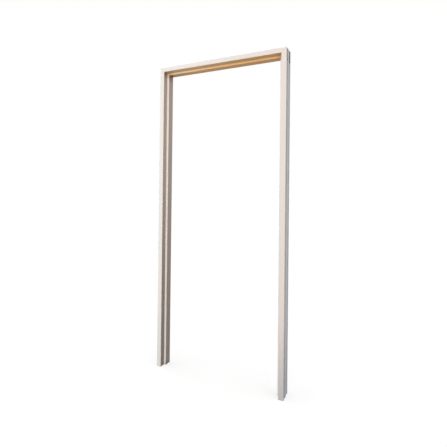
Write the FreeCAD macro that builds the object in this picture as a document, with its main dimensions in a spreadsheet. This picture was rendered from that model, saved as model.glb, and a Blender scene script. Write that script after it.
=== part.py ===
"""A door frame of white uPVC: two jambs and a head of one hollow extrusion, mitred and bracketed at the top.

Frame of the part: X across the doorway, Y through the wall from the front face to the back face, Z up.
The origin lies on the floor, half way between the jambs and half way through the wall.

All three members are lengths of the same section. The section is drawn in its own axes: across is the
distance from the wall side towards the doorway, through is the distance from the front face. Each member
stands on its section and is turned about Y: the left jamb by 0, the head by 90 and the right jamb by 180
degrees, so one set of functions makes the plastic, the steel inside it and the screws that hold it.
"""

import FreeCAD, Part
import math
import os
import Sketcher
from FreeCAD import Placement, Rotation, Vector

SIZES = [
    # The whole frame
    ("frame_width", 800, "outside of one jamb to the outside of the other"),
    ("frame_height", 2000, "floor to the top of the head"),
    ("frame_depth", 110, "front face to back face"),
    # The section
    ("face_width", 28, "front face of a member"),
    ("stop_projection", 14, "how far the door stop stands into the doorway"),
    ("rebate_depth", 48, "front face to the door stop, the seat of the leaf"),
    ("outer_wall", 2.4, "thickness of the walls that show"),
    ("inner_web", 1.6, "thickness of the webs between the chambers"),
    ("edge_radius", 1.5, "rounding of the long outer edges"),
    ("rebate_radius", 0.8, "rounding of the inside corner of the rebate"),
    ("chamber_radius", 0.6, "rounding of the corners of the chambers"),
    # The two bracket channels in the wall side
    ("front_channel_start", 16, "front face to the front channel"),
    ("rear_channel_lip", 4, "rear channel to the back face"),
    ("channel_floor", 4, "thickness of the plastic that the screws bite"),
    # The steel box in the front chamber
    ("steel_wall", 1.5, "thickness of the steel"),
    ("steel_inner_radius", 1, "inside of the steel's bent corners"),
    ("steel_clearance", 0.3, "steel to the chamber, each side"),
    ("steel_setback", 2, "steel to the mitre, along the member"),
    ("steel_foot_gap", 10, "floor to the steel"),
    # The corner brackets
    ("bracket_thickness", 2.5, "thickness of the bracket plate"),
    ("bracket_leg", 67, "outside corner of the frame to the end of each leg"),
    ("bracket_sink", 0.2, "how far the bracket lies below the wall side"),
    ("bracket_clearance", 0.5, "bracket to the channel, each side"),
    ("bracket_bend_radius", 1.5, "rounding of the outside of the bend"),
    ("bracket_end_radius", 4, "rounding of the corners of each leg's end"),
    ("front_bracket_width", 20, "width of the front brackets"),
    ("rear_bracket_width", 32, "width of the rear brackets"),
    # The screws
    ("bracket_screw_first", 22, "outside corner of the frame to the first screw of a leg"),
    ("bracket_screw_pitch", 30, "first screw to the second screw of a leg"),
    ("bracket_screw_stagger", 8, "rear brackets' screws to the brackets' centre line"),
    ("steel_screw_foot", 150, "floor to the lowest screw that holds the steel"),
    ("steel_screw_corner", 200, "outside corner of the frame to the nearest screw that holds the steel"),
    ("steel_screw_spacing", 400, "greatest distance between the screws that hold the steel"),
    ("screw_diameter", 4.2, "shank of a screw"),
    ("screw_length", 16, "top of the head to the point"),
    ("screw_head_diameter", 8, "countersunk head"),
    ("screw_point", 4, "length of the drill point"),
    ("screw_tip_diameter", 0.8, "blunt end of the drill point"),
    ("pilot_clearance", 0.05, "shank to the pilot hole, each side"),
    ("bracket_hole_clearance", 0.2, "shank to the bracket's hole, each side"),
]

# Screws and their holes repeat, so they have this many flats in place of round walls
FLATS = 12
FLAT_SHARE = math.cos(math.pi / FLATS)

# Below this a distance in mm or a volume in mm3 counts as none
NOTHING = 1e-4

doc = FreeCAD.newDocument("door_frame")


class Size:
    """A length that is a number now and an expression of the sheet's cells for the document."""

    def __init__(self, value, text):
        self.value = value
        self.text = text

    def joined(self, other, sign, value):
        text = other.text if isinstance(other, Size) else str(other)
        return Size(value, f"({self.text} {sign} {text})")

    def __add__(self, other):
        return self.joined(other, "+", self.value + number(other))

    def __sub__(self, other):
        return self.joined(other, "-", self.value - number(other))

    def __mul__(self, other):
        return self.joined(other, "*", self.value * number(other))

    def __truediv__(self, other):
        return self.joined(other, "/", self.value / number(other))

    def __neg__(self):
        return Size(-self.value, f"(0 - {self.text})")


def number(size):
    """The number behind a size or a plain number."""
    return size.value if isinstance(size, Size) else size


def fill_sheet():
    """Writes the driving dimensions into the sheet and gives them back by name."""
    sheet = doc.addObject("Spreadsheet::Sheet", "Sizes")
    named = {}
    for row, (alias, value, meaning) in enumerate(SIZES, start=1):
        sheet.set(f"A{row}", meaning)
        sheet.set(f"B{row}", str(value))
        sheet.setAlias(f"B{row}", alias)
        named[alias] = Size(value, f"Sizes.{alias}")
    doc.recompute()
    return named


s = fill_sheet()

# What follows from the driving dimensions, in the section's axes
ZERO = Size(0, "0")
thickness = s["face_width"] + s["stop_projection"]
channel_depth = s["bracket_thickness"] + s["bracket_sink"]
floor_inside = channel_depth + s["channel_floor"]
front_channel_near = s["front_channel_start"]
front_channel_far = front_channel_near + s["front_bracket_width"] + s["bracket_clearance"] * 2
rear_channel_far = s["frame_depth"] - s["rear_channel_lip"]
rear_channel_near = rear_channel_far - s["rear_bracket_width"] - s["bracket_clearance"] * 2
front_bracket_middle = (front_channel_near + front_channel_far) / 2
rear_bracket_middle = (rear_channel_near + rear_channel_far) / 2
face_inside = s["face_width"] - s["outer_wall"]
stop_inside = thickness - s["outer_wall"]
stop_web_back = s["rebate_depth"] + s["outer_wall"]
stop_web_front = stop_web_back - s["inner_web"]
steel_low = (floor_inside + s["steel_clearance"], s["outer_wall"] + s["steel_clearance"])
steel_high = (face_inside - s["steel_clearance"], stop_web_front - s["steel_clearance"])
head_radius = s["screw_head_diameter"] / 2
shank_radius = s["screw_diameter"] / 2
pilot_radius = shank_radius + s["pilot_clearance"]
pilot_depth = steel_low[0] + s["steel_wall"] * 2

# What follows from them in the frame of the part
front_face = -s["frame_depth"] / 2
half_width = s["frame_width"] / 2


def new_body(name):
    """An empty body whose label names its file."""
    body = doc.addObject("PartDesign::Body", name)
    body.Label = name
    return body


def new_sketch(body, name, role):
    """A sketch on one of the body's own origin planes, such as XY_Plane."""
    sketch = body.newObject("Sketcher::SketchObject", name)
    plane = [item for item in body.Origin.OriginFeatures if item.Role == role][0]
    sketch.AttachmentSupport = (plane, [""])
    sketch.MapMode = "FlatFace"
    return sketch


def polygon(sketch, corners):
    """A closed outline through corners, each a pair of sizes that its corner is tied to."""
    first = sketch.GeometryCount
    count = len(corners)
    points = [Vector(horizontal.value, vertical.value, 0) for horizontal, vertical in corners]
    lines = [Part.LineSegment(points[i], points[(i + 1) % count]) for i in range(count)]
    sketch.addGeometry(lines, False)
    joins = [
        Sketcher.Constraint("Coincident", first + i, 2, first + (i + 1) % count, 1)
        for i in range(count)
    ]
    sketch.addConstraint(joins)
    ties = []
    for i, (horizontal, vertical) in enumerate(corners):
        ties.append(("DistanceX", first + i, horizontal))
        ties.append(("DistanceY", first + i, vertical))
    held = [Sketcher.Constraint(kind, -1, 1, line, 1, size.value) for kind, line, size in ties]
    for index, (kind, line, size) in zip(sketch.addConstraint(held), ties):
        sketch.setExpression(f"Constraints[{index}]", size.text)


def rectangle(sketch, low, high):
    """A rectangle between two corners."""
    polygon(sketch, rectangle_corners(low, high))


def rectangle_corners(low, high):
    """The four corners of a rectangle between its lowest and highest corners."""
    return [low, (high[0], low[1]), high, (low[0], high[1])]


def ring(sketch, horizontal, vertical, radius):
    """The flats of a screw or its hole, with corners at a radius from the centre and on both axes."""
    turns = [2 * math.pi * i / FLATS for i in range(FLATS)]
    polygon(sketch, [
        (
            horizontal + radius * round(math.cos(turn), 12),
            vertical + radius * round(math.sin(turn), 12),
        )
        for turn in turns
    ])


def sink_depth(hole_radius):
    """How deep a countersink for a screw head is at 45 degrees, measured on the flats."""
    return (head_radius - hole_radius) * FLAT_SHARE


def feature(body, kind, name, sketch, length=None, turned=False):
    """A pad or pocket, of a length that the sheet sets or through all. It has to change the body."""
    before = volume(body)
    made = body.newObject(f"PartDesign::{kind}", name)
    made.Profile = sketch
    made.Reversed = turned
    if length is None:
        made.Type = "ThroughAll"
    else:
        made.setExpression("Length", length.text)
    sketch.Visibility = False
    compare(body, made, before)
    return made


def loft(body, kind, name, role, horizontal, vertical, rings):
    """A solid or a hollow through rings on one axis, each a distance from the plane and a radius."""
    before = volume(body)
    sketches = []
    for i, (offset, radius) in enumerate(rings, start=1):
        sketch = new_sketch(body, f"{name}_ring_{i}", role)
        sketch.setExpression("AttachmentOffset.Base.z", offset.text)
        ring(sketch, horizontal, vertical, radius)
        sketch.Visibility = False
        sketches.append(sketch)
    doc.recompute()
    made = body.newObject(f"PartDesign::{kind}", name)
    made.Profile = sketches[0]
    made.Sections = sketches[1:]
    made.Ruled = True
    compare(body, made, before)
    return made


def volume(body):
    """The volume of a body, which is nothing before its first feature."""
    return body.Shape.Volume if body.Shape.Solids else 0


def compare(body, made, before):
    """Stops the script if a feature leaves the volume of its body as it was before."""
    doc.recompute()
    if abs(volume(body) - before) < NOTHING:
        raise ValueError(f"{made.Name} of {body.Label} changes nothing")


def dress(body, kind, name, chosen, size):
    """A fillet or chamfer on the edges of the body's last feature that a test chooses."""
    base = body.Tip
    names = [f"Edge{i}" for i, edge in enumerate(base.Shape.Edges, start=1) if chosen(edge)]
    if not names:
        raise ValueError(f"{name} of {body.Label} finds no edge")
    made = body.newObject(f"PartDesign::{kind}", name)
    made.Base = (base, names)
    made.setExpression("Radius" if kind == "Fillet" else "Size", size.text)
    doc.recompute()


def runs_through(corners):
    """A test for the long edges of a member that run through the given corners of its section."""

    def chosen(edge):
        ends = [vertex.Point for vertex in edge.Vertexes]
        if len(ends) != 2 or math.hypot(ends[0].x - ends[1].x, ends[0].y - ends[1].y) > NOTHING:
            return False
        return any(
            math.hypot(ends[0].x - across.value, ends[0].y - through.value) < NOTHING
            for across, through in corners
        )

    return chosen


def section_outline():
    """The outside of the section: face, rebate, stop, back, and the wall side with its two channels."""
    return [
        (ZERO, ZERO),
        (s["face_width"], ZERO),
        (s["face_width"], s["rebate_depth"]),
        (thickness, s["rebate_depth"]),
        (thickness, s["frame_depth"]),
        (ZERO, s["frame_depth"]),
        (ZERO, rear_channel_far),
        (channel_depth, rear_channel_far),
        (channel_depth, rear_channel_near),
        (ZERO, rear_channel_near),
        (ZERO, front_channel_far),
        (channel_depth, front_channel_far),
        (channel_depth, front_channel_near),
        (ZERO, front_channel_near),
    ]


def chamber_outlines():
    """The three chambers: in front for the steel, behind the stop, and at the back."""
    wall = s["outer_wall"]
    half_web = s["inner_web"] / 2
    front = [
        (wall, wall),
        (face_inside, wall),
        (face_inside, stop_web_front),
        (wall, stop_web_front),
        (wall, front_channel_far + wall),
        (floor_inside, front_channel_far + wall),
        (floor_inside, front_channel_near - wall),
        (wall, front_channel_near - wall),
    ]
    middle = [
        (wall, stop_web_back),
        (stop_inside, stop_web_back),
        (stop_inside, rear_bracket_middle - half_web),
        (floor_inside, rear_bracket_middle - half_web),
        (floor_inside, rear_channel_near - wall),
        (wall, rear_channel_near - wall),
    ]
    back = rectangle_corners(
        (floor_inside, rear_bracket_middle + half_web),
        (stop_inside, s["frame_depth"] - wall),
    )
    return [front, middle, back]


def mitre(body, name, corners):
    """Cuts away everything inside an outline drawn on the plane across the member and along it."""
    sketch = new_sketch(body, f"{name}_sketch", "XZ_Plane")
    polygon(sketch, corners)
    feature(body, "Pocket", name, sketch)


class Member:
    """One side of the frame: how long it is, which ends are mitred, and how it is turned and placed.

    A jamb's other end is its foot. The length counts from the near end to the far end.
    """

    def __init__(self, name, length, near_mitred, far_mitred, turn, place):
        self.name = name
        self.length = length
        self.near_mitred = near_mitred
        self.far_mitred = far_mitred
        self.turn = turn
        self.place = place

    def put(self, body):
        """Turns a body about Y and ties its place to the sheet."""
        body.Placement = Placement(Vector(0, 0, 0), Rotation(Vector(0, 1, 0), self.turn))
        for axis, size in zip("xyz", self.place):
            body.setExpression(f"Placement.Base.{axis}", size.text)

    def placement(self):
        """Where the member's own axes lie in the frame."""
        base = Vector(*[size.value for size in self.place])
        return Placement(base, Rotation(Vector(0, 1, 0), self.turn))

    def cut_ends(self, body, setback):
        """Mitres the ends at 45 degrees, so that the wall side keeps the whole length less the setback."""
        reach = thickness * 2
        near = [
            (-reach, setback - reach),
            (-reach, -reach * 2),
            (reach, -reach * 2),
            (reach, reach + setback),
        ]
        far = [
            (-reach, self.length + reach - setback),
            (reach, self.length - reach - setback),
            (reach, self.length + reach * 2),
            (-reach, self.length + reach * 2),
        ]
        if self.near_mitred:
            mitre(body, "near_mitre", near)
        if self.far_mitred:
            mitre(body, "far_mitre", far)

    def cut_foot(self, body, gap):
        """Shortens a jamb's steel at its foot."""
        if self.near_mitred and self.far_mitred:
            return
        low, high = (ZERO, gap) if self.far_mitred else (self.length - gap, self.length)
        sketch = new_sketch(body, "foot_sketch", "XZ_Plane")
        rectangle(sketch, (ZERO, low), (thickness, high))
        feature(body, "Pocket", "foot_gap", sketch)

    def bracket_screws(self, middle, stagger):
        """Two screws for each mitred end, as distances along the member and through the wall."""
        first = s["bracket_screw_first"]
        second = first + s["bracket_screw_pitch"]
        pairs = []
        if self.near_mitred:
            pairs.append([(first, middle - stagger), (second, middle + stagger)])
        if self.far_mitred:
            pairs.append([(self.length - first, middle - stagger), (self.length - second, middle + stagger)])
        return pairs

    def steel_row(self):
        """Where the row of screws that hold the steel starts, how long it is and how many it has."""
        low = s["steel_screw_corner"] if self.near_mitred else s["steel_screw_foot"]
        high = self.length - (s["steel_screw_corner"] if self.far_mitred else s["steel_screw_foot"])
        span = high - low
        steps = math.ceil(span.value / s["steel_screw_spacing"].value)
        return low, span, steps + 1

    def steel_screws(self):
        """The places of that row."""
        low, span, count = self.steel_row()
        return [(low + span * i / (count - 1), front_bracket_middle) for i in range(count)]


FRAME_MEMBERS = [
    Member("left_jamb", s["frame_height"], False, True, 0, (-half_width, front_face, ZERO)),
    Member("head", s["frame_width"], True, True, 90, (-half_width, front_face, s["frame_height"])),
    Member("right_jamb", s["frame_height"], True, False, 180, (half_width, front_face, s["frame_height"])),
]

# The two rows of bracket screws: name, distance through the wall and how far the screws stand off it
BRACKET_ROWS = [
    ("front", front_bracket_middle, ZERO),
    ("rear", rear_bracket_middle, s["bracket_screw_stagger"]),
]


def drill(body, name, places):
    """Pilot holes from the wall side, into the chambers and through one wall of the steel."""
    sketch = new_sketch(body, f"{name}_sketch", "YZ_Plane")
    for along, through in places:
        ring(sketch, through, along, pilot_radius)
    return sketch, feature(body, "Pocket", name, sketch, pilot_depth, turned=True)


def drill_row(body, member, sunk=False):
    """The row of holes for the screws that hold the steel: one hole, repeated along the member."""
    low, span, _ = member.steel_row()
    sketch, pilot = drill(body, "steel_pilot", [(low, front_bracket_middle)])
    repeated = [pilot]
    if sunk:
        rings = [(channel_depth, head_radius), (channel_depth + sink_depth(pilot_radius), pilot_radius)]
        seat = loft(body, "SubtractiveLoft", "countersink", "YZ_Plane", front_bracket_middle, low, rings)
        repeated.append(seat)
    before = volume(body)
    row = body.newObject("PartDesign::LinearPattern", "steel_pilots")
    row.Originals = repeated
    row.Direction = (sketch, ["V_Axis"])
    row.setExpression("Length", span.text)
    row.setExpression("Occurrences", f"ceil({span.text} / {s['steel_screw_spacing'].text}) + 1")
    body.Tip = row
    compare(body, row, before)


def make_extrusion(member):
    """The plastic: the hollow section padded along the member, mitred, drilled and countersunk."""
    body = new_body(member.name)
    sketch = new_sketch(body, "section", "XY_Plane")
    chambers = chamber_outlines()
    for outline in [section_outline()] + chambers:
        polygon(sketch, outline)
    feature(body, "Pad", "length_of_section", sketch, member.length)
    outer_corners = [
        (ZERO, ZERO),
        (s["face_width"], ZERO),
        (thickness, s["rebate_depth"]),
        (thickness, s["frame_depth"]),
        (ZERO, s["frame_depth"]),
    ]
    dress(body, "Fillet", "outer_edges", runs_through(outer_corners), s["edge_radius"])
    rebate_corner = [(s["face_width"], s["rebate_depth"])]
    dress(body, "Fillet", "rebate_corner", runs_through(rebate_corner), s["rebate_radius"])
    chamber_corners = [corner for chamber in chambers for corner in chamber]
    dress(body, "Fillet", "chamber_corners", runs_through(chamber_corners), s["chamber_radius"])
    member.cut_ends(body, ZERO)
    for row, middle, stagger in BRACKET_ROWS:
        for pair in member.bracket_screws(middle, stagger):
            drill(body, f"{row}_bracket_pilots", pair)
    drill_row(body, member, sunk=True)
    member.put(body)
    return body


def make_steel(member):
    """The bent steel box in the front chamber, which stiffens the member and takes hinge screws."""
    wall = s["steel_wall"]
    inner_low = (steel_low[0] + wall, steel_low[1] + wall)
    inner_high = (steel_high[0] - wall, steel_high[1] - wall)
    body = new_body(f"{member.name}_reinforcement")
    sketch = new_sketch(body, "box", "XY_Plane")
    rectangle(sketch, steel_low, steel_high)
    rectangle(sketch, inner_low, inner_high)
    feature(body, "Pad", "length_of_box", sketch, member.length)
    outside = runs_through(rectangle_corners(steel_low, steel_high))
    dress(body, "Fillet", "outside_of_bends", outside, s["steel_inner_radius"] + wall)
    inside = runs_through(rectangle_corners(inner_low, inner_high))
    dress(body, "Fillet", "inside_of_bends", inside, s["steel_inner_radius"])
    member.cut_ends(body, s["steel_setback"])
    member.cut_foot(body, s["steel_foot_gap"])
    for pair in member.bracket_screws(front_bracket_middle, ZERO):
        drill(body, "bracket_pilots", pair)
    drill_row(body, member)
    member.put(body)
    return body


def make_bracket(name, width, middle, stagger, turn, corner_across):
    """A punched steel angle: one leg along the head, one down the jamb, pressed square inside the bend."""
    body = new_body(name)
    plate = s["bracket_thickness"]
    reach = s["bracket_leg"] - s["bracket_sink"]
    near = s["bracket_screw_first"] - s["bracket_sink"]
    far = near + s["bracket_screw_pitch"]
    hole = shank_radius + s["bracket_hole_clearance"]
    near_across = width / 2 - stagger
    far_across = width / 2 + stagger
    angle = new_sketch(body, "angle", "XZ_Plane")
    polygon(angle, [
        (ZERO, ZERO),
        (reach, ZERO),
        (reach, -plate),
        (plate, -plate),
        (plate, -reach),
        (ZERO, -reach),
    ])
    feature(body, "Pad", "width_of_angle", angle, width, turned=True)

    def at_bend(edge):
        return all(math.hypot(vertex.X, vertex.Z) < NOTHING for vertex in edge.Vertexes)

    def at_leg_end(edge):
        middle_point = edge.CenterOfMass
        at_end = abs(middle_point.x - reach.value) < NOTHING or abs(middle_point.z + reach.value) < NOTHING
        return at_end and abs(edge.Length - plate.value) < NOTHING

    def on_outer_rim(point, along, across):
        off_head_leg = math.hypot(point.x - along.value, point.y - across.value) - hole.value
        off_jamb_leg = math.hypot(point.z + along.value, point.y - across.value) - hole.value
        on_head_leg = abs(point.z) < NOTHING and abs(off_head_leg) < NOTHING
        on_jamb_leg = abs(point.x) < NOTHING and abs(off_jamb_leg) < NOTHING
        return on_head_leg or on_jamb_leg

    def outer_rim(edge):
        ends = [vertex.Point for vertex in edge.Vertexes]
        return any(
            all(on_outer_rim(end, along, across) for end in ends)
            for along, across in ((near, near_across), (far, far_across))
        )

    dress(body, "Fillet", "bend", at_bend, s["bracket_bend_radius"])
    dress(body, "Fillet", "leg_ends", at_leg_end, s["bracket_end_radius"])
    head_leg = new_sketch(body, "head_leg_holes", "XY_Plane")
    ring(head_leg, near, near_across, hole)
    ring(head_leg, far, far_across, hole)
    feature(body, "Pocket", "holes_in_head_leg", head_leg, plate)
    jamb_leg = new_sketch(body, "jamb_leg_holes", "YZ_Plane")
    ring(jamb_leg, near_across, -near, hole)
    ring(jamb_leg, far_across, -far, hole)
    feature(body, "Pocket", "holes_in_jamb_leg", jamb_leg, plate, turned=True)
    dress(body, "Chamfer", "countersinks", outer_rim, sink_depth(hole))
    body.Placement = Placement(Vector(0, 0, 0), Rotation(Vector(0, 1, 0), turn))
    place = (corner_across, front_face + middle - width / 2, s["frame_height"] - s["bracket_sink"])
    for axis, size in zip("xyz", place):
        body.setExpression(f"Placement.Base.{axis}", size.text)
    return body


def make_brackets():
    """A narrow bracket in the front channel and a wide one in the rear channel, at both top corners."""
    sides = [
        ("left", 0, s["bracket_sink"] - half_width),
        ("right", 90, half_width - s["bracket_sink"]),
    ]
    return [
        make_bracket(f"{side}_{row}_bracket", s[f"{row}_bracket_width"], middle, stagger, turn, corner)
        for row, middle, stagger in BRACKET_ROWS
        for side, turn, corner in sides
    ]


def make_screw():
    """A countersunk screw: head up at the origin and shank down along -Z, ending in a blunt drill point."""
    body = new_body("screw")
    rings = [
        (ZERO, head_radius),
        (-sink_depth(shank_radius), shank_radius),
        (s["screw_point"] - s["screw_length"], shank_radius),
        (-s["screw_length"], s["screw_tip_diameter"] / 2),
    ]
    loft(body, "AdditiveLoft", "head_shank_and_point", "XY_Plane", ZERO, ZERO, rings)
    return body


def driven(screw, member, places, head_below):
    """Copies of the screw driven into a member from its wall side, with their heads a distance below it."""
    outwards = Rotation(Vector(0, 0, 1), Vector(-1, 0, 0))
    copies = []
    for along, through in places:
        copy = screw.Shape.copy()
        local = Placement(Vector(head_below.value, through.value, along.value), outwards)
        copy.Placement = member.placement().multiply(local)
        copies.append(copy)
    return copies


def group(name, copies):
    """One node of separate solids."""
    node = doc.addObject("Part::Feature", name)
    node.Label = name
    node.Shape = Part.makeCompound(copies)
    return node


def make_screws():
    """The screws of the brackets, and those that hold the steel, sunk in the channel floor."""
    screw = make_screw()
    in_brackets = []
    in_steel = []
    for member in FRAME_MEMBERS:
        for _, middle, stagger in BRACKET_ROWS:
            for pair in member.bracket_screws(middle, stagger):
                in_brackets += driven(screw, member, pair, s["bracket_sink"])
        in_steel += driven(screw, member, member.steel_screws(), channel_depth)
    return [group("bracket_screws", in_brackets), group("reinforcement_screws", in_steel)]


def check(nodes):
    """Stops the script if an object failed, a node is not sound or a body came apart."""
    for item in doc.Objects:
        if "Invalid" in item.State or "Error" in item.State:
            raise ValueError(f"{item.Label} failed: {item.State}")
    for node in nodes:
        if node.Shape.isNull() or not node.Shape.isValid() or not node.Shape.Solids:
            raise ValueError(f"{node.Label} is not a valid solid")
        if node.TypeId == "PartDesign::Body" and len(node.Shape.Solids) > 1:
            raise ValueError(f"{node.Label} came apart")


def main():
    """Builds every node, checks them and writes one file each."""
    nodes = []
    for member in FRAME_MEMBERS:
        nodes += [make_extrusion(member), make_steel(member)]
    nodes += make_brackets()
    nodes += make_screws()
    doc.recompute()
    check(nodes)
    os.makedirs("parts", exist_ok=True)
    for node in nodes:
        node.Shape.exportStep(f"parts/{node.Label}.step")
        box = node.Shape.BoundBox
        print(node.Label, len(node.Shape.Solids), round(node.Shape.Volume), box)


main()
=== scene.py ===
"""A door frame of white uPVC on a pale studio floor.

The extrusions, the steel inside them and the corner brackets keep the frame's own meshes and get their
finishes here. The screws are made again as round ones, with a cross recess and a thread.
Everything is in metres: X across the doorway, Y through the wall from front to back, Z up.
"""

import math

import bpy
import numpy as np
from mathutils import Matrix, Vector


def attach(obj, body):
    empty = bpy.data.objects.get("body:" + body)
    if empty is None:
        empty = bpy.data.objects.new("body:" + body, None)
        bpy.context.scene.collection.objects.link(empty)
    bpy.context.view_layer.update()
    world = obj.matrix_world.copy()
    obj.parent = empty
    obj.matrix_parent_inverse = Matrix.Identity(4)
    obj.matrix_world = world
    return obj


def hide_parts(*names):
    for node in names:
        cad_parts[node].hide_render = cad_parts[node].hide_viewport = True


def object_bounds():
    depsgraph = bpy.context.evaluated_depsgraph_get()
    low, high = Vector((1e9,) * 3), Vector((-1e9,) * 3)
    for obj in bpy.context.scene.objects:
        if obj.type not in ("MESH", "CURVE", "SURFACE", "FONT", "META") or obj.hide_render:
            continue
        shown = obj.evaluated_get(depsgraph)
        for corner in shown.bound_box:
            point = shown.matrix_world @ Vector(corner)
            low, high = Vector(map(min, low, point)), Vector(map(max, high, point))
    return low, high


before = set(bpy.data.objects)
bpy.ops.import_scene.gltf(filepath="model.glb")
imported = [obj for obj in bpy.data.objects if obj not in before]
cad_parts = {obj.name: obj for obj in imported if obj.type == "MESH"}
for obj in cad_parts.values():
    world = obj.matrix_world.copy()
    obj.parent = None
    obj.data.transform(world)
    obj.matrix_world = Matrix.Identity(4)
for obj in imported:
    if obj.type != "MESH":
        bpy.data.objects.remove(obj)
cad_low, cad_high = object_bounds()

# The outside of the frame, from its own box
HALF_WIDTH = cad_high.x
HEIGHT = cad_high.z
FRONT = cad_low.y
BACK = cad_high.y

# The section of a member
FACE_WIDTH = 0.028
STOP_HEIGHT = 0.014
REBATE_DEPTH = 0.048
SEAT = FRONT + REBATE_DEPTH
CHANNEL_DEPTH = 0.0027

# One screw. The shares are of the head's radius, of the recess's outline and of its depth
HEAD_RADIUS = 0.00380
CREST_RADIUS = 0.00205
ROOT_RADIUS = 0.00155
TIP_RADIUS = 0.0004
SCREW_LENGTH = 0.016
POINT_LENGTH = 0.004
THREAD_PITCH = 0.0014
RIDGE_SHARPNESS = 1.5
RIM_DROP = 0.00003
RIM_SHARE = 0.97
RECESS_REACH = 0.0022
RECESS_DEPTH = 0.0019
LIP_DROP = RIM_DROP * 4
LIP_SHARE = 0.94
FLOOR_OUTLINE_SHARE = 0.4
FLOOR_DEPTH_SHARE = 0.92
SCREW_SIDES = 48
ARM_CORNER_SIDE = 2
RINGS_A_PITCH = 8

# Edges of a new piece that turn by more than this stay sharp
SHARP_ANGLE = math.radians(35)

# The corner brackets and the rows of screws
BRACKET_LEG = 0.067
BRACKET_SINK = 0.0002
SCREW_FIRST = 0.022
SCREW_SECOND = 0.052
FRONT_ROW = FRONT + 0.0265
REAR_ROW = FRONT + 0.0895
REAR_STAGGER = 0.008
STEEL_SCREW_FOOT = 0.150
STEEL_SCREW_CORNER = 0.200
STEEL_SCREW_SPACING = 0.400
SCREW_SEED = 7

# Keeps a division off zero, and a count of screws from rounding up
TINY = 1e-6

# The photograph's camera, in pixels of its 447 by 447 frame, in metres, and in millimetres for the sensor
PICTURE = 447
FOCAL_PIXELS = 409.1
LENS_CENTRE = (115.0, 186.4)
CAMERA_PLACE = Vector((0.886, FRONT - 2.454, 1.176))
CAMERA_YAW = math.radians(33.80)
CAMERA_PITCH = math.radians(0.49)
CAMERA_ROLL = math.radians(0.76)
SENSOR_WIDTH = 36.0

# The studio. A lamp has a name, the direction that it shines from, a strength and a width
FLOOR_REACH = 40.0
FLOOR_LIFT = 0.65
SKY_LEVEL = 0.45
LAMPS = (
    ("front_lamp", Vector((0.0, -1.0, 0.06)), 1.52, math.radians(9)),
    ("top_lamp", Vector((0.0, -0.1, 1.0)), 1.1, math.radians(30)),
)


def srgb(red, green, blue):
    """A colour for a socket, from its screen values between 0 and 255, by the sRGB curve."""
    shares = np.array([red, green, blue]) / 255
    linear = np.where(shares > 0.04045, ((shares + 0.055) / 1.055) ** 2.4, shares / 12.92)
    return (*linear.tolist(), 1.0)


# Colours of the plastic. The front whites, the cream and the sawn white are its own; the rest are painted
# light and shade
# Painted light: the front face is lighter towards the left
FACE_WHITE_LEFT = srgb(249, 242, 234)
FACE_WHITE_RIGHT = srgb(243, 231, 222)
# Painted cool shade on the sides towards the wall
WALL_SIDE_SHADE_GREY = srgb(223, 222, 227)
# Painted warm shade on the jambs' sides towards the doorway
REVEAL_SHADE_BEIGE = srgb(217, 201, 186)
SEAT_CREAM = srgb(250, 238, 232)
# Painted warm bounce light on the head's underside and its stop face
HEAD_BOUNCE_TAN = srgb(238, 198, 138)
HEAD_BOUNCE_TAN_LEFT = srgb(240, 214, 178)
# Painted shade: deeper tan at the front of the rebate and behind the stop
HEAD_SHADE_TAN_DEEP = srgb(222, 172, 110)
HEAD_SHADE_TAN_REAR = srgb(204, 146, 70)
SEAT_BOUNCE_TAN = srgb(239, 193, 136)
SEAT_BOUNCE_TAN_LEFT = srgb(248, 214, 171)
# Painted warm highlight along the lower edge of the head's face
LIP_HIGHLIGHT_PEACH = srgb(255, 230, 204)
# Painted shadow in the inner corners under the head
CORNER_SHADE_BROWN = srgb(140, 100, 66)
SAWN_WHITE = srgb(226, 222, 216)
# Painted shade at the feet of the jambs
FOOT_SHADE_GREY = srgb(138, 150, 164)

# Where the plastic's marks lie, most of them painted light and shade: on its own axis, the place where each
# starts and where it is full
MITRE_SPAN = (-0.0001, 0.0001)
JOINT_SPAN = (0.0006, 0.0002)
SAWN_SPAN = (0.0008, 0.0004)
LIP_HIGHLIGHT_SPAN = (FACE_WIDTH - 0.009, FACE_WIDTH - 0.002)
NEAR_HEAD_SHADE_SPAN = (FACE_WIDTH + 0.055, FACE_WIDTH)
REBATE_SHADE_SPAN = (SEAT - 0.018, FRONT + 0.006)
# Painted light: the head's underside and stop face are paler towards the left
LEFTWARDS_SPAN = (0.3, -0.4)
SEAT_LEFTWARDS_SPAN = (0.1, -0.3)
LEFT_END_SHADE_SPAN = (0.2, 0.05)
SEAT_CORNER_SHADE_SPAN = (0.035, 0)
FOOT_SHADE_SPAN = (0.6, -0.1)
LOWER_SHADE_SPAN = (1.9, 0.0)
CONTACT_SHADOW_SPAN = (0.02, 0.0)

# The painted band of bounce light at the seat, from its middle outwards, and how softly colours meet at an
# edge
SEAT_BOUNCE_HALF = 0.004
SEAT_BOUNCE_SOFT = 0.018
EDGE_FADE = 0.0012

# How strong the plastic's marks are, from 0 to 1. All but the joint's are painted light and shade
NEAR_HEAD_SHADE_SHARE = 0.7
REBATE_SHADE_SHARE = 0.6
REAR_SHADE_SHARE = 0.9
SEAT_BOUNCE_SHARE = 0.55
LEFT_END_SHADE_SHARE = 0.12
LEFT_END_REAR_SHADE_SHARE = 0.46
SEAT_CORNER_SHADE_SHARE = 0.35
FOOT_SHADE_LEFT = 0.12
FOOT_SHADE_RIGHT = 0.45
FOOT_SHADE_WALL_LOSS = 0.4
LOWER_SHADE_SHARE = 0.1
LOWER_DOORWAY_SHADE_SHARE = 0.44
CONTACT_SHADOW_SHARE = 0.25
JOINT_SHARE = 0.35

# Relief of the plastic
LINE_HEIGHT = 4e-6
BAND_HEIGHT = 1.2e-5
PEEL_HEIGHT = 2e-6
CLOUD_HEIGHT = 6e-5
JOINT_DEPTH = 1.5e-4
SAW_HEIGHT = 8e-5

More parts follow.
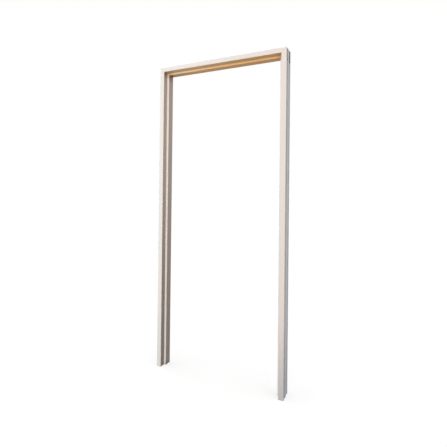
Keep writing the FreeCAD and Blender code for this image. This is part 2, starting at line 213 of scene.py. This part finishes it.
# How much a pattern is drawn out one way, as its change that way over its change the other way
LINE_DRAW = 0.004
BAND_DRAW = 0.02
SAW_DRAW = 0.05
ROLLED_DRAW = 0.05
BRUSHED_DRAW = 0.1

# Floor
FLOOR_GREY = (0.45, 0.45, 0.45, 1.0)

# Steel. Coat, rubbed and yellow spans are values of a noise
SPANGLE_LIGHT = srgb(196, 200, 203)
SPANGLE_DARK = srgb(150, 155, 160)
SPANGLE_SHARE = 0.7
SPANGLE_HEIGHT = 4e-6
ROLLED_HEIGHT = 3e-6
# A dark-coated steel with painted light and shade: the front brackets are a lit copy, the rear ones a
# shaded copy
FRONT_BRACKET_LIT_DULL = srgb(130, 130, 122)
FRONT_BRACKET_LIT_BRIGHT = srgb(155, 155, 147)
REAR_BRACKET_SHADE_DULL = srgb(42, 42, 44)
REAR_BRACKET_SHADE_BRIGHT = srgb(60, 61, 62)
# Painted shadow at the ends of the brackets' legs
LEG_END_SHADOW_BLACK = srgb(40, 34, 35)
LEG_END_SHADOW_SPAN = (BRACKET_LEG - 0.015, BRACKET_LEG - 0.012)
LEG_END_SHADOW_SHARE = 0.85
COAT_SPAN = (0.35, 0.65)
RUBBED_SPAN = (0.58, 0.72)
BRUSHED_HEIGHT = 5e-6
COAT_HEIGHT = 1e-5
SCREW_ZINC = srgb(178, 178, 170)
SCREW_YELLOW = srgb(176, 166, 132)
YELLOW_SPAN = (0.35, 0.7)
PLATED_HEIGHT = 2e-6


class Value:
    """A socket of a finish. Arithmetic on it, with a number on either side, adds Math nodes."""

    def __init__(self, finish, socket):
        self.finish = finish
        self.socket = socket

    def maths(self, operation, *values):
        """A Math node of that operation on values or numbers."""
        return self.finish.node("ShaderNodeMath", {"operation": operation}, dict(enumerate(values)))

    def __add__(self, other):
        return self.maths("ADD", self, other)

    def __radd__(self, other):
        return self.maths("ADD", other, self)

    def __sub__(self, other):
        return self.maths("SUBTRACT", self, other)

    def __rsub__(self, other):
        return self.maths("SUBTRACT", other, self)

    def __mul__(self, other):
        return self.maths("MULTIPLY", self, other)

    def __rmul__(self, other):
        return self.maths("MULTIPLY", other, self)

    def __abs__(self):
        return self.maths("ABSOLUTE", self)

    def least(self, other):
        """The smaller of two values."""
        return self.maths("MINIMUM", self, other)

    def most(self, other):
        """The greater of two values."""
        return self.maths("MAXIMUM", self, other)

    def near(self, middle, half, soft):
        """1 less than half away from the middle, and 0 more than half and soft away."""
        return abs(self - middle).rise(half + soft, half)

    def rise(self, start, end):
        """From 0 at the start to 1 at the end with soft ends. The start may be the higher number."""
        settings = {"interpolation_type": "SMOOTHSTEP"}
        inputs = {"Value": self, "From Min": start, "From Max": end}
        return self.finish.node("ShaderNodeMapRange", settings, inputs)

    def around_one(self, width):
        """1, give or take half a width, from a pattern that runs from 0 to 1."""
        return 1 - width / 2 + self * width


class Finish:
    """The nodes of a material or of the world, and the few kinds that its maths needs."""

    def __init__(self, owner):
        owner.use_nodes = True
        self.owner = owner
        self.tree = owner.node_tree
        self.tree.nodes.clear()

    def node(self, kind, settings=None, inputs=None, out=0):
        """Adds a node, sets it up, fills its sockets with numbers or links, and gives one of its outputs.

        A socket goes by its name, or by its number where several sockets share a name.
        """
        made = self.tree.nodes.new(kind)
        for name, setting in (settings or {}).items():
            setattr(made, name, setting)
        for name, given in (inputs or {}).items():
            if isinstance(given, Value):
                self.tree.links.new(given.socket, made.inputs[name])
            else:
                made.inputs[name].default_value = given
        return Value(self, made.outputs[out]) if made.outputs else None

    def place(self):
        """The point on the object."""
        return self.node("ShaderNodeTexCoord", out="Object")

    def part(self, point, axis):
        """One of the three numbers of a point or colour, by the name of its axis."""
        return self.node("ShaderNodeSeparateXYZ", inputs={"Vector": point}, out=axis)

    def parts(self, point):
        """The three numbers of a point."""
        return [self.part(point, axis) for axis in "XYZ"]

    def point(self, x, y, z):
        """A point from three values."""
        return self.node("ShaderNodeCombineXYZ", inputs={"X": x, "Y": y, "Z": z})

    def noise(self, point, scale, detail=2.0):
        """Soft noise from 0 to 1, with scale cells to the metre."""
        return self.node("ShaderNodeTexNoise", inputs={"Vector": point, "Scale": scale, "Detail": detail})

    def mix(self, share, first, second):
        """The first colour where the share is 0 and the second where it is 1."""
        return self.node("ShaderNodeMix", {"data_type": "RGBA"}, {0: share, 6: first, 7: second}, out=2)

    def dim(self, colour, share):
        """A colour times a value."""
        grey = self.point(share, share, share)
        return self.node("ShaderNodeVectorMath", {"operation": "MULTIPLY"}, {0: colour, 1: grey})

    def relief(self, height):
        """The normal of a surface whose height is given in metres."""
        return self.node("ShaderNodeBump", inputs={"Distance": 1.0, "Height": height})

    def seen(self):
        """1 for what the camera sees straight, by a reflection or through glass, and 0 for soft light."""
        rays = [
            self.node("ShaderNodeLightPath", out=f"Is {kind} Ray")
            for kind in ("Camera", "Glossy", "Transmission")
        ]
        return (rays[0] + rays[1] + rays[2]).least(1.0)

    def surface(self, colour, metallic, roughness, height, gloss=0.5):
        """Ends the finish with one Principled shader."""
        return self.end(self.node("ShaderNodeBsdfPrincipled", inputs={
            "Base Color": colour,
            "Metallic": metallic,
            "Roughness": roughness,
            "Specular IOR Level": gloss,
            "Normal": self.relief(height),
        }))

    def end(self, shader, kind="ShaderNodeOutputMaterial"):
        """Links a shader to the output and gives back the material or world."""
        self.node(kind, inputs={"Surface": shader})
        return self.owner


def jamb_reveal(finish, to_top, seat, behind_seat):
    """A jamb's doorway sides: painted shade in beige, painted corner shadow in brown near the head, cream
    at the seat.
    """
    below_head = to_top - behind_seat * STOP_HEIGHT
    # Painted corner shadow down the jamb from the head's underside
    near_head_shade = below_head.rise(*NEAR_HEAD_SHADE_SPAN)
    side = finish.mix(near_head_shade * NEAR_HEAD_SHADE_SHARE, REVEAL_SHADE_BEIGE, CORNER_SHADE_BROWN)
    return finish.mix(seat, side, SEAT_CREAM)


def head_reveal(finish, x, y, seat, behind_seat):
    """The underside of the head: painted warm bounce light in tan, paler to the left and near the seat,
    and painted corner shadow in brown at its left end.

    The tan is deeper towards the front of the rebate and behind the stop's face, as painted shade.
    """
    # Painted light: paler towards the left
    leftwards = x.rise(*LEFTWARDS_SPAN)
    # Painted shade, strongest at the front of the rebate
    rebate_shade = y.rise(*REBATE_SHADE_SPAN)
    # Painted bounce light in a band at the seat
    seat_bounce = y.near(SEAT, SEAT_BOUNCE_HALF, SEAT_BOUNCE_SOFT)
    # Painted corner shadow at the head's left end, stronger behind the stop
    left_end_shade_share = LEFT_END_SHADE_SHARE + behind_seat * LEFT_END_REAR_SHADE_SHARE
    left_end_shade = (x + HALF_WIDTH).rise(*LEFT_END_SHADE_SPAN) * left_end_shade_share * (1 - seat)
    stop_face = finish.mix(x.rise(*SEAT_LEFTWARDS_SPAN), SEAT_BOUNCE_TAN, SEAT_BOUNCE_TAN_LEFT)

    colour = finish.mix(leftwards, HEAD_BOUNCE_TAN, HEAD_BOUNCE_TAN_LEFT)
    colour = finish.mix(rebate_shade * REBATE_SHADE_SHARE, colour, HEAD_SHADE_TAN_DEEP)
    colour = finish.mix(behind_seat * REAR_SHADE_SHARE, colour, HEAD_SHADE_TAN_REAR)
    colour = finish.mix(seat_bounce * SEAT_BOUNCE_SHARE, colour, SEAT_BOUNCE_TAN)
    colour = finish.mix(seat, colour, stop_face)
    return finish.mix(left_end_shade, colour, CORNER_SHADE_BROWN)


def front_and_walls(finish, x, across, head, wall_side):
    """The front face, painted lighter to the left, a painted highlight at the head's lower edge, and wall
    sides in painted shade.
    """
    # Painted light: the front face is lighter towards the left
    face = finish.mix(x.rise(-HALF_WIDTH, HALF_WIDTH), FACE_WHITE_LEFT, FACE_WHITE_RIGHT)
    # Painted warm highlight along the head's lower front edge
    lip_highlight = across.rise(*LIP_HIGHLIGHT_SPAN) * head
    return finish.mix(wall_side, finish.mix(lip_highlight, face, LIP_HIGHLIGHT_PEACH), WALL_SIDE_SHADE_GREY)


def foot_shade(x, z, reveal, wall_side):
    """How grey the lower end of a jamb is, as painted shade: most on the right jamb's face, and none in the
    doorway.
    """
    most = FOOT_SHADE_LEFT + x.rise(-HALF_WIDTH, HALF_WIDTH) * (FOOT_SHADE_RIGHT - FOOT_SHADE_LEFT)
    return z.rise(*FOOT_SHADE_SPAN) * most * (1 - wall_side * FOOT_SHADE_WALL_LOSS) * (1 - reveal)


def white_upvc():
    """Satin extruded plastic, whose colours carry painted light and shade from the head down to the feet.

    across is the distance from the wall side towards the doorway: the lesser of the distances to the outer
    side and to the top, which are equal on the mitre. Die lines depend on across and y only, apart from a
    slow drift along the member, so they run along every member and turn the corner at the mitre.
    """
    finish = Finish(bpy.data.materials.new("white_upvc"))
    point = finish.place()
    x, y, z = finish.parts(point)
    to_side = HALF_WIDTH - abs(x)
    to_top = HEIGHT - z
    across = to_side.least(to_top)
    from_mitre = to_side - to_top
    head = from_mitre.rise(*MITRE_SPAN)
    along = z + (x - z) * head

    inside = y.near(0, BACK - 2 * EDGE_FADE, EDGE_FADE)
    behind_seat = y.rise(SEAT + EDGE_FADE / 2, SEAT + EDGE_FADE)
    past_skin = across - (behind_seat * STOP_HEIGHT + FACE_WIDTH)
    reveal = past_skin.rise(-EDGE_FADE, -EDGE_FADE / 2) * inside
    past_face = across.rise(FACE_WIDTH + EDGE_FADE / 4, FACE_WIDTH + EDGE_FADE / 2)
    seat = past_face * y.near(SEAT, EDGE_FADE / 2, EDGE_FADE / 2)
    wall_side = across.rise(CHANNEL_DEPTH + EDGE_FADE / 2, CHANNEL_DEPTH + EDGE_FADE / 4) * inside
    from_corner = to_side.most(to_top) - (FACE_WIDTH + STOP_HEIGHT)
    # Painted shadow where the stop faces meet in the corner
    seat_corner_shade = from_corner.rise(*SEAT_CORNER_SHADE_SPAN) * seat
    joint = abs(from_mitre).rise(*JOINT_SPAN)
    sawn = z.rise(*SAWN_SPAN)

    jamb_side = jamb_reveal(finish, to_top, seat, behind_seat)
    doorway = finish.mix(head, jamb_side, head_reveal(finish, x, y, seat, behind_seat))
    doorway = finish.mix(seat_corner_shade * SEAT_CORNER_SHADE_SHARE, doorway, CORNER_SHADE_BROWN)
    colour = finish.mix(reveal, front_and_walls(finish, x, across, head, wall_side), doorway)
    # Painted shade at the feet of the jambs, greyer on the right
    colour = finish.mix(foot_shade(x, z, reveal, wall_side), colour, FOOT_SHADE_GREY)
    colour = finish.mix(sawn, colour, SAWN_WHITE)

    lines = finish.noise(finish.point(across, y, along * LINE_DRAW), scale=620.0, detail=3.0)
    bands = finish.noise(finish.point(across, y, along * BAND_DRAW), scale=90.0)
    peel = finish.noise(point, scale=520.0)
    clouds = finish.noise(point, scale=5.0, detail=3.0)
    saw = finish.noise(finish.point(x * SAW_DRAW, y, z), scale=900.0, detail=3.0)

    # Painted shade: darker towards the floor, more in the doorway than on the front and at the seat
    lower_shade = z.rise(*LOWER_SHADE_SPAN) * (LOWER_SHADE_SHARE + (reveal - seat) * LOWER_DOORWAY_SHADE_SHARE)
    # Painted contact shadow at the foot of the doorway sides
    contact_shadow = z.rise(*CONTACT_SHADOW_SPAN) * reveal * CONTACT_SHADOW_SHARE
    shade = bands.around_one(0.05) * clouds.around_one(0.03) * (1 - joint * JOINT_SHARE)
    skin = lines * LINE_HEIGHT + bands * BAND_HEIGHT + peel * PEEL_HEIGHT + clouds * CLOUD_HEIGHT
    return finish.surface(
        colour=finish.dim(colour, shade * (1 - lower_shade) * (1 - contact_shadow)),
        metallic=0.0,
        roughness=0.3 + lines * 0.1 + peel * 0.06 + sawn * 0.35,
        height=skin - joint * JOINT_DEPTH + sawn * saw * SAW_HEIGHT,
        gloss=0.25,
    )


def galvanised_steel():
    """Zinc spangle: cells a centimetre across, each with its own grey, over a fine rolled grain."""
    finish = Finish(bpy.data.materials.new("galvanised_steel"))
    point = finish.place()
    x, y, z = finish.parts(point)
    cells = finish.node("ShaderNodeTexVoronoi", inputs={"Vector": point, "Scale": 95.0}, out="Color")
    grey = finish.part(cells, "X")
    grain = finish.noise(finish.point(x, y, z * ROLLED_DRAW), scale=900.0)
    clouds = finish.noise(point, scale=14.0, detail=3.0)
    spangle = grey * SPANGLE_SHARE + clouds * (1 - SPANGLE_SHARE)
    colour = finish.mix(spangle, SPANGLE_DARK, SPANGLE_LIGHT)
    return finish.surface(
        colour=finish.dim(colour, grain.around_one(0.1)),
        metallic=0.85,
        roughness=0.38 + grey * 0.16 + grain * 0.1,
        height=grey * SPANGLE_HEIGHT + grain * ROLLED_HEIGHT,
    )


def bracket_steel(name, dull, bright):
    """Punched plate with a dark zinc coat: cloudy, rubbed in spots, with painted shadow in black at the
    ends of its legs.
    """
    finish = Finish(bpy.data.materials.new(name))
    point = finish.place()
    x, y, z = finish.parts(point)
    from_corner = (HALF_WIDTH - abs(x)).most(HEIGHT - z)
    # Painted shadow at the ends of the legs
    leg_end_shadow = from_corner.rise(*LEG_END_SHADOW_SPAN)
    grain = finish.noise(finish.point(x * BRUSHED_DRAW, y, z * BRUSHED_DRAW), scale=1400.0)
    clouds = finish.noise(point, scale=60.0, detail=4.0)
    rubbed = finish.noise(point, scale=260.0, detail=4.0).rise(*RUBBED_SPAN)
    colour = finish.mix(clouds.rise(*COAT_SPAN), dull, bright)
    colour = finish.mix(leg_end_shadow * LEG_END_SHADOW_SHARE, colour, LEG_END_SHADOW_BLACK)
    return finish.surface(
        colour=finish.dim(colour, grain.around_one(0.16)),
        metallic=0.5,
        roughness=0.56 + grain * 0.12 - rubbed * 0.14,
        height=grain * BRUSHED_HEIGHT + clouds * COAT_HEIGHT,
        gloss=0.2,
    )


def screw_steel():
    """Bright zinc with a yellowish cast in patches."""
    finish = Finish(bpy.data.materials.new("screw_steel"))
    point = finish.place()
    patches = finish.noise(point, scale=320.0, detail=3.0)
    fine = finish.noise(point, scale=2600.0)
    return finish.surface(
        colour=finish.mix(patches.rise(*YELLOW_SPAN), SCREW_ZINC, SCREW_YELLOW),
        metallic=0.95,
        roughness=0.26 + fine * 0.14 + patches * 0.08,
        height=fine * PLATED_HEIGHT,
    )


def one_screw():
    """The rings of one screw with its head up at the origin and its shank down -Z, and its axis's ends.

    A ring's radius is a function of the angle and the depth. The recess is a cross: towards an angle t off
    the nearest arm its edge lies at the lesser of reach / cos t and half the arm's width / sin t. The cone
    falls at 45 degrees. The thread is a ridge that is highest where depth / pitch - angle / turn is half
    way between two whole numbers, and it fades over one pitch at each end.
    """
    angles = np.arange(SCREW_SIDES) * 2 * math.pi / SCREW_SIDES
    off_arm = np.abs((angles + math.pi / 4) % (math.pi / 2) - math.pi / 4)
    half_arm = RECESS_REACH * math.tan(ARM_CORNER_SIDE * 2 * math.pi / SCREW_SIDES)
    cross = np.minimum(RECESS_REACH / np.cos(off_arm), half_arm / np.maximum(np.sin(off_arm), TINY))

    neck = HEAD_RADIUS - ROOT_RADIUS
    shank_end = SCREW_LENGTH - POINT_LENGTH
    depths = np.arange(neck, shank_end, THREAD_PITCH / RINGS_A_PITCH)
    phase = (depths[:, None] / THREAD_PITCH - angles / (2 * math.pi)) % 1
    fade = np.minimum(depths - depths[0], depths[-1] - depths) / THREAD_PITCH
    ridge = (1 - np.abs(2 * phase - 1)) ** RIDGE_SHARPNESS * np.clip(fade, 0, 1)[:, None]
    thread = ROOT_RADIUS + (CREST_RADIUS - ROOT_RADIUS) * ridge

    head = np.stack([
        cross * FLOOR_OUTLINE_SHARE,
        cross * LIP_SHARE,
        cross,
        np.full(SCREW_SIDES, HEAD_RADIUS * RIM_SHARE),
        np.full(SCREW_SIDES, HEAD_RADIUS - RIM_DROP),
    ])
    head_depths = np.array([RECESS_DEPTH * FLOOR_DEPTH_SHARE, LIP_DROP, 0, 0, RIM_DROP])
    point = np.stack([
        np.full(SCREW_SIDES, (ROOT_RADIUS + TIP_RADIUS) / 2),
        np.full(SCREW_SIDES, TIP_RADIUS),
    ])
    point_depths = np.array([SCREW_LENGTH - POINT_LENGTH / 2, SCREW_LENGTH])

    radii = np.vstack([head, thread, point])
    heights = -np.concatenate([head_depths, depths, point_depths])[:, None]
    rings = np.stack([radii * np.cos(angles), radii * np.sin(angles), heights + radii * 0], axis=-1)
    poles = np.array([[0, 0, -RECESS_DEPTH], [0, 0, -SCREW_LENGTH]])
    return rings, poles


def ring_faces(rings, sides):
    """Quads between rings and triangles to the poles, which are the last two points. All face outwards."""
    ring, side = np.meshgrid(np.arange(rings - 1), np.arange(sides), indexing="ij")
    beside = (side + 1) % sides
    below = (ring + 1) * sides
    quads = np.stack([ring * sides + side, below + side, below + beside, ring * sides + beside], axis=-1)
    first = np.arange(sides)
    second = (first + 1) % sides
    last_ring = (rings - 1) * sides
    top = np.stack([np.full(sides, rings * sides), first, second], axis=-1)
    bottom = np.stack([last_ring + first, np.full(sides, rings * sides + 1), last_ring + second], axis=-1)
    return quads.reshape(-1, 4), np.vstack([top, bottom])


def screws(name, places, luck):
    """Screws in one piece. Each place is where the middle of a head lies and the way the head faces.

    A screw's own X, Y and Z become Y turned by a chance angle about the facing direction, the direction at
    right angles to both, and the facing direction.
    """
    rings, poles = one_screw()
    points = np.vstack([rings.reshape(-1, 3), poles])
    centres = np.array([place for place, _ in places])
    outwards = np.array([outward for _, outward in places], float)
    start = np.broadcast_to([0.0, 1.0, 0.0], outwards.shape)
    across = np.cross(outwards, start)
    chance = luck.uniform(0, math.pi / 2, (len(places), 1))
    first = start * np.cos(chance) + across * np.sin(chance)
    second = np.cross(outwards, first)
    axes = np.stack([first, second, outwards], axis=1)
    placed = np.einsum("pi,sij->spj", points, axes) + centres[:, None, :]
    quads, triangles = ring_faces(len(rings), SCREW_SIDES)
    offsets = (np.arange(len(places)) * len(points))[:, None, None]
    faces = [(quads + offsets).reshape(-1, 4), (triangles + offsets).reshape(-1, 3)]
    return mesh_piece(name, placed.reshape(-1, 3), faces)


def mesh_piece(name, points, faces):
    """An object at the origin whose mesh holds its place.

    The faces come as arrays, each of faces with one number of corners.
    """
    mesh = bpy.data.meshes.new(name)
    corners = np.concatenate([group.ravel() for group in faces])
    counts = np.concatenate([np.full(len(group), group.shape[1]) for group in faces])
    mesh.vertices.add(len(points))
    mesh.vertices.foreach_set("co", points.astype(np.float32).ravel())
    mesh.loops.add(len(corners))
    mesh.loops.foreach_set("vertex_index", corners.astype(np.int32))
    mesh.polygons.add(len(counts))
    mesh.polygons.foreach_set("loop_start", (np.cumsum(counts) - counts).astype(np.int32))
    mesh.update(calc_edges=True)
    mesh.shade_smooth()
    mesh.set_sharp_from_angle(angle=SHARP_ANGLE)
    piece = bpy.data.objects.new(name, mesh)
    bpy.context.scene.collection.objects.link(piece)
    return piece


def bracket_places():
    """Four screws in each bracket: two through the jamb's leg and two through the head's leg."""
    places = []
    for side in (-1, 1):
        for row, stagger in ((FRONT_ROW, 0), (REAR_ROW, REAR_STAGGER)):
            for from_corner, through in ((SCREW_FIRST, row - stagger), (SCREW_SECOND, row + stagger)):
                outside = side * (HALF_WIDTH - BRACKET_SINK)
                inwards = side * (HALF_WIDTH - from_corner)
                places.append(((outside, through, HEIGHT - from_corner), (side, 0, 0)))
                places.append(((inwards, through, HEIGHT - BRACKET_SINK), (0, 0, 1)))
    return places


def steel_row(low, high):
    """Screws from low to high, evenly spaced and no further apart than the greatest spacing."""
    steps = math.ceil((high - low) / STEEL_SCREW_SPACING - TINY)
    return np.linspace(low, high, steps + 1)


def reinforcement_places():
    """Rows of screws in the front channel, with their heads in its floor."""
    places = []
    for height in steel_row(STEEL_SCREW_FOOT, HEIGHT - STEEL_SCREW_CORNER):
        for side in (-1, 1):
            outside = side * (HALF_WIDTH - CHANNEL_DEPTH)
            places.append(((outside, FRONT_ROW, height), (side, 0, 0)))
    reach = HALF_WIDTH - STEEL_SCREW_CORNER
    for across in steel_row(-reach, reach):
        places.append(((across, FRONT_ROW, HEIGHT - CHANNEL_DEPTH), (0, 0, 1)))
    return places


def dress_nodes():
    """Gives every carried-over node its finish."""
    upvc = white_upvc()
    steel = galvanised_steel()
    finishes = {name: upvc for name in ("left_jamb", "head", "right_jamb")}
    finishes |= {f"{name}_reinforcement": steel for name in ("left_jamb", "head", "right_jamb")}
    # The rear row's far darker colours are painted shade on the same dark-coated steel
    rows = {
        "front": bracket_steel("front_bracket_lit_steel", FRONT_BRACKET_LIT_DULL, FRONT_BRACKET_LIT_BRIGHT),
        "rear": bracket_steel("rear_bracket_shaded_steel", REAR_BRACKET_SHADE_DULL, REAR_BRACKET_SHADE_BRIGHT),
    }
    finishes |= {f"{side}_{row}_bracket": rows[row] for side in ("left", "right") for row in rows}
    for name, finish in finishes.items():
        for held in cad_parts[name].material_slots:
            held.material = finish


def make_screws():
    """Round screws that stand for the two screw nodes."""
    luck = np.random.default_rng(SCREW_SEED)
    zinc = screw_steel()
    for node, places in (
        ("bracket_screws", bracket_places()),
        ("reinforcement_screws", reinforcement_places()),
    ):
        piece = screws(f"threaded_{node}", places, luck)
        piece.data.materials.append(zinc)
        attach(piece, "root")
        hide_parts(node)


def make_floor():
    """A pale floor that keeps the shadow. For what the camera sees it is lifted to the white background."""
    corners = np.array([[-1, -1, 0], [1, -1, 0], [1, 1, 0], [-1, 1, 0]]) * FLOOR_REACH
    floor = mesh_piece("floor", corners, [np.array([[0, 1, 2, 3]])])
    finish = Finish(bpy.data.materials.new("studio_floor"))
    matt = finish.node("ShaderNodeBsdfDiffuse", inputs={"Color": FLOOR_GREY})
    lift = finish.node("ShaderNodeEmission", inputs={"Strength": finish.seen() * FLOOR_LIFT})
    floor.data.materials.append(finish.end(finish.node("ShaderNodeAddShader", inputs={0: matt, 1: lift})))


def light_studio():
    """Even light from all sides, white to the camera, and lamps from the front and from above.

    The lamps leave no highlight of their own, so gloss shows the even sky alone.
    """
    finish = Finish(bpy.data.worlds.new("studio"))
    brightness = finish.seen() * (1 - SKY_LEVEL) + SKY_LEVEL
    sky = finish.node("ShaderNodeBackground", inputs={"Color": (1, 1, 1, 1), "Strength": brightness})
    bpy.context.scene.world = finish.end(sky, "ShaderNodeOutputWorld")
    for name, from_where, strength, width in LAMPS:
        lamp = bpy.data.lights.new(name, "SUN")
        lamp.energy = strength
        lamp.angle = width
        lamp_object = bpy.data.objects.new(name, lamp)
        lamp_object.visible_glossy = False
        lamp_object.rotation_mode = "QUATERNION"
        lamp_object.rotation_quaternion = from_where.to_track_quat("Z", "Y")
        bpy.context.scene.collection.objects.link(lamp_object)


def set_camera():
    """The photograph's viewpoint: a little above half height, to the right, and with the lens shifted."""
    ahead = Vector((
        -math.sin(CAMERA_YAW) * math.cos(CAMERA_PITCH),
        math.cos(CAMERA_YAW) * math.cos(CAMERA_PITCH),
        math.sin(CAMERA_PITCH),
    ))
    level = Vector((math.cos(CAMERA_YAW), math.sin(CAMERA_YAW), 0))
    upright = level.cross(ahead)
    right = level * math.cos(CAMERA_ROLL) + upright * math.sin(CAMERA_ROLL)
    up = upright * math.cos(CAMERA_ROLL) - level * math.sin(CAMERA_ROLL)
    turn = Matrix((right, up, -ahead)).transposed().to_4x4()
    camera = bpy.data.cameras.new("camera")
    camera.sensor_width = SENSOR_WIDTH
    camera.lens = FOCAL_PIXELS / PICTURE * SENSOR_WIDTH
    camera.shift_x = 0.5 - LENS_CENTRE[0] / PICTURE
    camera.shift_y = LENS_CENTRE[1] / PICTURE - 0.5
    camera_object = bpy.data.objects.new("camera", camera)
    camera_object.matrix_world = Matrix.Translation(CAMERA_PLACE) @ turn
    bpy.context.scene.collection.objects.link(camera_object)
    bpy.context.scene.camera = camera_object


set_camera()
light_studio()
make_floor()
dress_nodes()
make_screws()
bpy.context.scene.view_settings.view_transform = "Standard"
